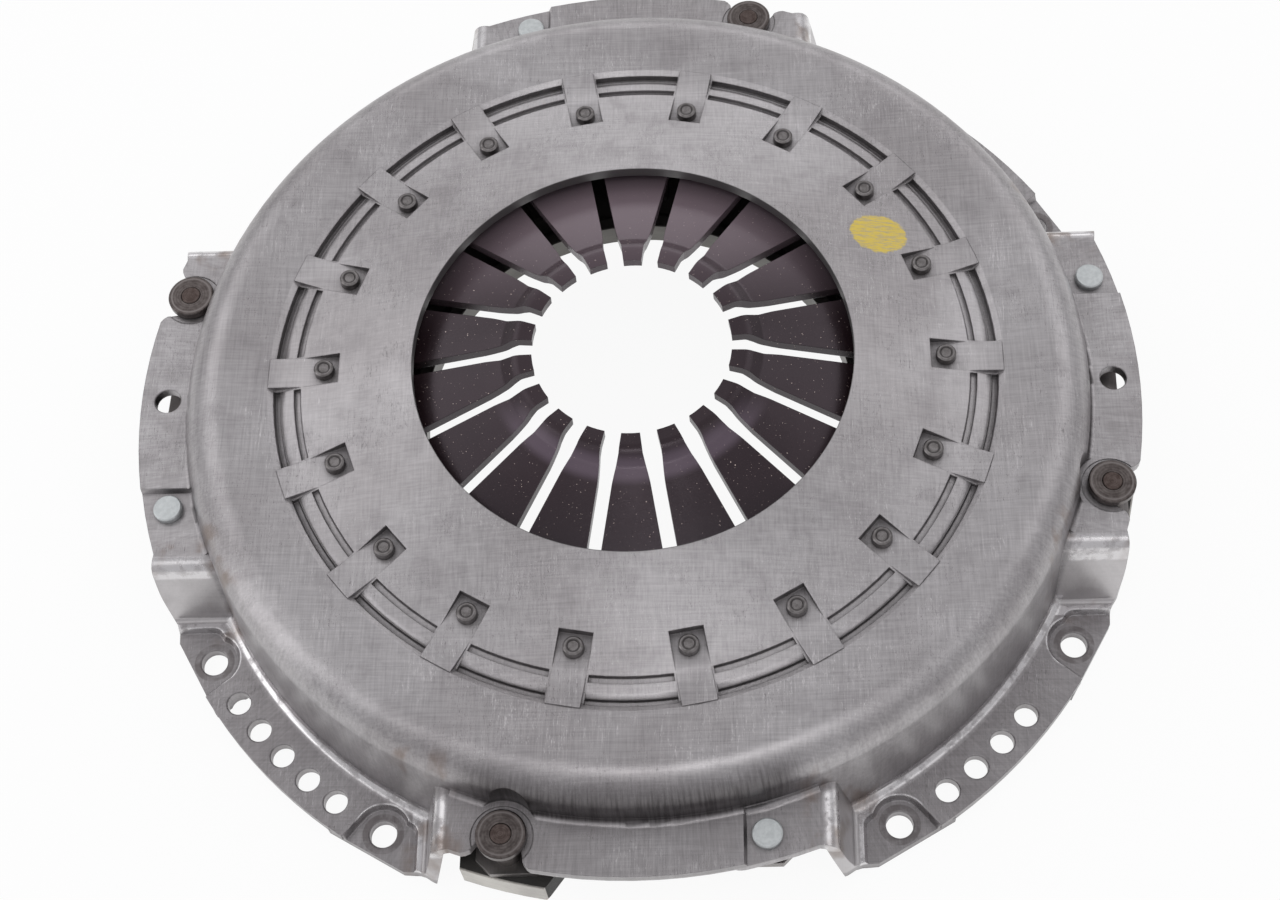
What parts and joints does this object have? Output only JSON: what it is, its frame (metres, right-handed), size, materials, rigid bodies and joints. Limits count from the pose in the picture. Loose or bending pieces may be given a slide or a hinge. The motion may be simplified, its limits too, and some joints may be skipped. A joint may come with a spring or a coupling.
{
  "type": "clutch pressure plate",
  "caption": "Diaphragm-spring clutch cover assembly: domed pressed cover with raised strap pads, coned spring fingers, cast pressure plate hung on leaf straps.",
  "frame": {"origin": "centre of the bolt circle, in the plane where the bolt bosses meet the flywheel", "axes": "+Z along the clutch axis, from the flywheel towards the release bearing; +X through the middle of the strap pad that has a side hole, so the two pads with side holes lie on +X and -X"},
  "size_m": [0.4592, 0.4592, 0.0903],
  "materials": {
    "pressed_steel": "drawn and lightly oiled sheet steel with scuffs",
    "spring_steel": "dark brown-black phosphated, fine speckle",
    "wire_steel": "drawn wire",
    "fulcrum_rivet_steel": "cold headed, dark",
    "cast_plate": "as cast, machined on the working faces",
    "strap_steel": "rolled spring strip",
    "plated_rivet": "zinc plated, matt",
    "lug_rivet_steel": "cold headed, dark brown",
    "turned_steel": "turned"
  },
  "bodies": {
    "cover_assembly": {"cover": "pressed_steel", "diaphragm_spring": "spring_steel", "fulcrum_wire_upper": "wire_steel", "fulcrum_wire_lower": "wire_steel", "fulcrum_rivets": "fulcrum_rivet_steel", "strap_spacers": "strap_steel", "cover_strap_rivets": "plated_rivet", "strap_1_leaf_a": "strap_steel", "strap_1_leaf_b": "strap_steel", "strap_1_leaf_c": "strap_steel", "strap_2_leaf_a": "strap_steel", "strap_2_leaf_b": "strap_steel", "strap_2_leaf_c": "strap_steel", "strap_3_leaf_a": "strap_steel", "strap_3_leaf_b": "strap_steel", "strap_3_leaf_c": "strap_steel", "strap_4_leaf_a": "strap_steel", "strap_4_leaf_b": "strap_steel", "strap_4_leaf_c": "strap_steel"},
    "plate_assembly": {"pressure_plate": "cast_plate", "lug_rivets": "lug_rivet_steel", "spacer_sleeves": "turned_steel", "stop_washers": "turned_steel"}
  },
  "joints": [
    {"name": "plate_lift", "type": "slide", "parent": "cover_assembly", "child": "plate_assembly", "axis": [0, 0, 1], "range_m": [0, 0.007], "stiffness_N_per_m": 20000, "springref_m": -0.01, "deforming": ["diaphragm_spring", "strap_1_leaf_a", "strap_1_leaf_b", "strap_1_leaf_c", "strap_2_leaf_a", "strap_2_leaf_b", "strap_2_leaf_c", "strap_3_leaf_a", "strap_3_leaf_b", "strap_3_leaf_c", "strap_4_leaf_a", "strap_4_leaf_b", "strap_4_leaf_c"]}
  ]
}
